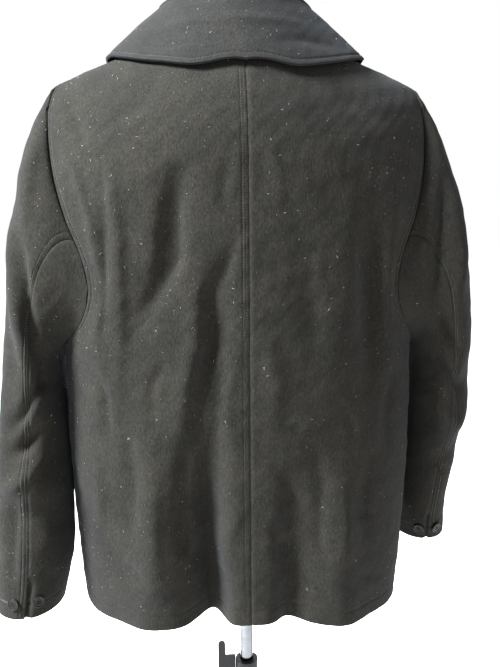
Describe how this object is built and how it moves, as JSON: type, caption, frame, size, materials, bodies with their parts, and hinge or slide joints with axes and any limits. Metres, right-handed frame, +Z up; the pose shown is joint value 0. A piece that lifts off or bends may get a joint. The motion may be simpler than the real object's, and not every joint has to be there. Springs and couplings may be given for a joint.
{
  "type": "car coat on a dress form stand",
  "caption": "Hip-length wool car coat with a wide turned-down collar and vented cuffs, hanging on a limbless dress form on a round-based pole stand.",
  "frame": {"origin": "middle of the round base plate's underside, on the floor", "axes": "+Z up; the coat's front faces -Y and its back +Y; the wearer's left is +X"},
  "size_m": [0.6732, 0.33, 1.5307],
  "materials": {
    "wool": "dense matt melton wool",
    "collar_wool": "dense matt melton wool",
    "button": "polished",
    "form_cover": "plain matt cotton",
    "chrome": "polished",
    "black_steel": "satin black"
  },
  "bodies": {
    "stand": {"base_plate": "black_steel", "lower_tube": "black_steel", "clamp_collar": "black_steel"},
    "handle": {"lock_handle": "black_steel"},
    "coat": {"pole": "chrome", "dress_form": "form_cover", "back_left": "wool", "back_right": "wool", "front_left": "wool", "front_right": "wool", "upper_sleeve_left": "wool", "under_sleeve_left": "wool", "upper_sleeve_right": "wool", "under_sleeve_right": "wool", "collar": "collar_wool", "cuff_button_left_outer": "button", "cuff_button_left_inner": "button", "cuff_button_right_outer": "button", "cuff_button_right_inner": "button", "front_button_1": "button", "front_button_2": "button", "front_button_3": "button", "front_button_4": "button"}
  },
  "joints": [
    {"name": "pole_height", "type": "slide", "parent": "stand", "child": "coat", "axis": [0, 0, 1], "range_m": [-0.1, 0.14]},
    {"name": "handle_turn", "type": "hinge", "parent": "stand", "child": "handle", "pos_m": [0.03, 0, 0.582], "axis": [1, 0, 0], "range_deg": [-30, 180]}
  ]
}
